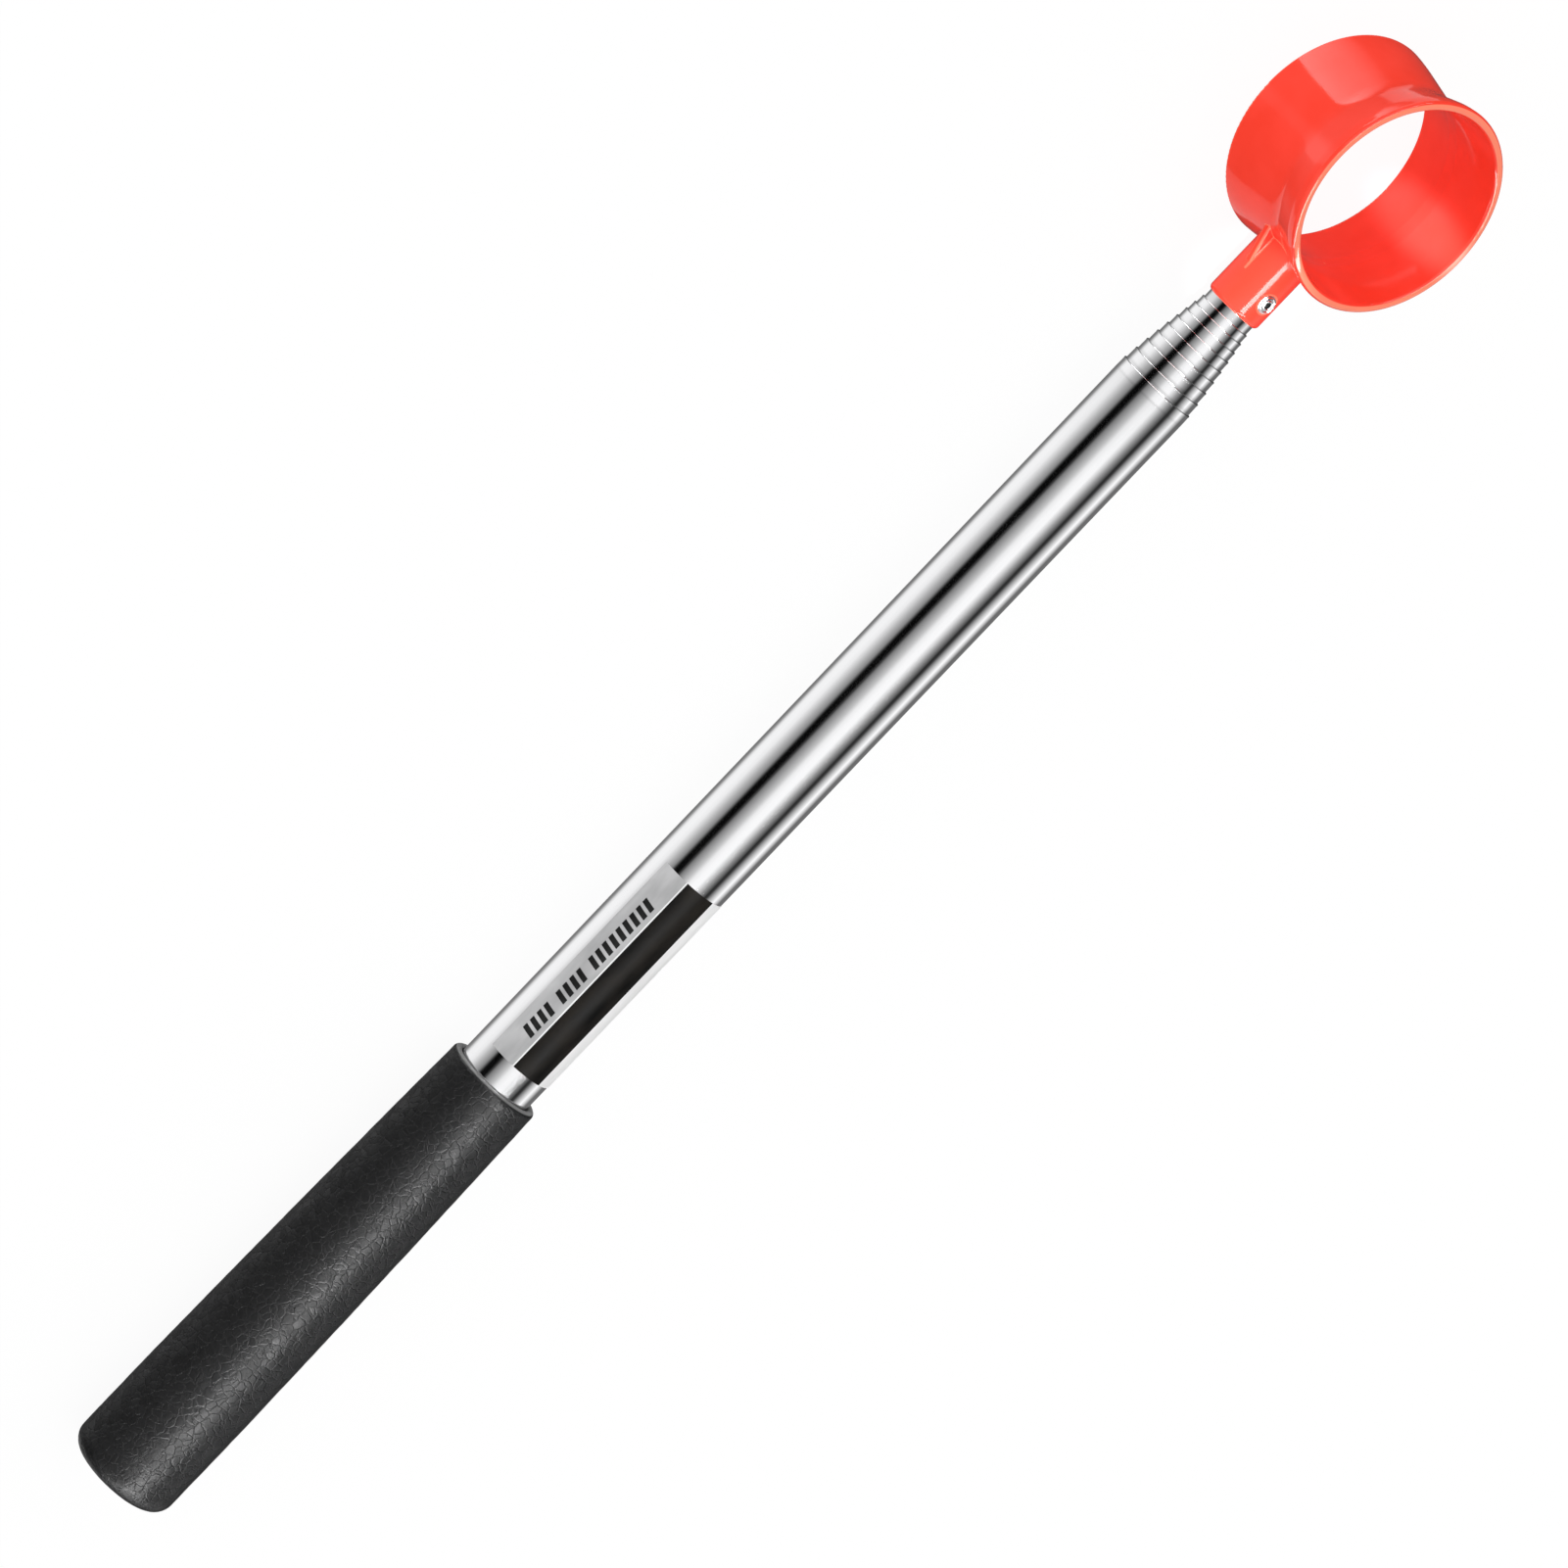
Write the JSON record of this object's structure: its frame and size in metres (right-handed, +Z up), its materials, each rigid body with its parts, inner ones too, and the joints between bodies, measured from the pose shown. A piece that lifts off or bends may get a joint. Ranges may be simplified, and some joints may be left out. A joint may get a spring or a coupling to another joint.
{
  "type": "golf ball retriever",
  "caption": "Telescopic golf ball retriever: a flared ball-catching ring on a nested steel tube pole with a tapered foam grip, shown collapsed.",
  "frame": {"origin": "centre of the collapsed retriever's footprint, on the surface that it lies on", "axes": "+X along the pole from the ring towards the butt, +Z up along the ring's axis from its rear rim to its front rim, +Y across"},
  "size_m": [0.3992, 0.0492, 0.0275],
  "materials": {
    "red_plastic": "glossy injection-moulded orange-red plastic",
    "polished_steel": "mirror-polished drawn steel tube",
    "bright_steel": "bright plated rivet steel",
    "spring_brass": "satin spring brass",
    "black_plastic": "matte black moulded plastic",
    "black_foam": "fine-celled matte black foam",
    "label": "printed film label in silver, black and white"
  },
  "bodies": {
    "handle": {"outer_tube": "polished_steel", "butt_plug": "black_plastic", "foam_grip": "black_foam", "wrap_label": "label"},
    "section_9": {"slide_tube_9": "polished_steel", "spring_sleeve_9": "spring_brass"},
    "section_8": {"slide_tube_8": "polished_steel", "spring_sleeve_8": "spring_brass"},
    "section_7": {"slide_tube_7": "polished_steel", "spring_sleeve_7": "spring_brass"},
    "section_6": {"slide_tube_6": "polished_steel", "spring_sleeve_6": "spring_brass"},
    "section_5": {"slide_tube_5": "polished_steel", "spring_sleeve_5": "spring_brass"},
    "section_4": {"slide_tube_4": "polished_steel", "spring_sleeve_4": "spring_brass"},
    "section_3": {"slide_tube_3": "polished_steel", "spring_sleeve_3": "spring_brass"},
    "section_2": {"slide_tube_2": "polished_steel", "spring_sleeve_2": "spring_brass"},
    "swivel_sleeve": {"spring_sleeve_1": "spring_brass"},
    "head": {"ball_ring_head": "red_plastic", "head_rivet": "bright_steel", "rivet_washers": "bright_steel", "slide_tube_1": "polished_steel"}
  },
  "joints": [
    {"name": "slide_9", "type": "slide", "parent": "handle", "child": "section_9", "axis": [-1, 0, 0], "range_m": [0, 0.2525]},
    {"name": "slide_8", "type": "slide", "parent": "section_9", "child": "section_8", "axis": [-1, 0, 0], "range_m": [0, 0.2555]},
    {"name": "slide_7", "type": "slide", "parent": "section_8", "child": "section_7", "axis": [-1, 0, 0], "range_m": [0, 0.2583]},
    {"name": "slide_6", "type": "slide", "parent": "section_7", "child": "section_6", "axis": [-1, 0, 0], "range_m": [0, 0.2609]},
    {"name": "slide_5", "type": "slide", "parent": "section_6", "child": "section_5", "axis": [-1, 0, 0], "range_m": [0, 0.2635]},
    {"name": "slide_4", "type": "slide", "parent": "section_5", "child": "section_4", "axis": [-1, 0, 0], "range_m": [0, 0.2659]},
    {"name": "slide_3", "type": "slide", "parent": "section_4", "child": "section_3", "axis": [-1, 0, 0], "range_m": [0, 0.2682]},
    {"name": "slide_2", "type": "slide", "parent": "section_3", "child": "section_2", "axis": [-1, 0, 0], "range_m": [0, 0.2703]},
    {"name": "slide_1", "type": "slide", "parent": "section_2", "child": "swivel_sleeve", "axis": [-1, 0, 0], "range_m": [0, 0.2723]},
    {"name": "head_swivel", "type": "hinge", "parent": "swivel_sleeve", "child": "head", "pos_m": [-0.17497, 0, 0.013], "axis": [-1, 0, 0], "continuous": true}
  ]
}
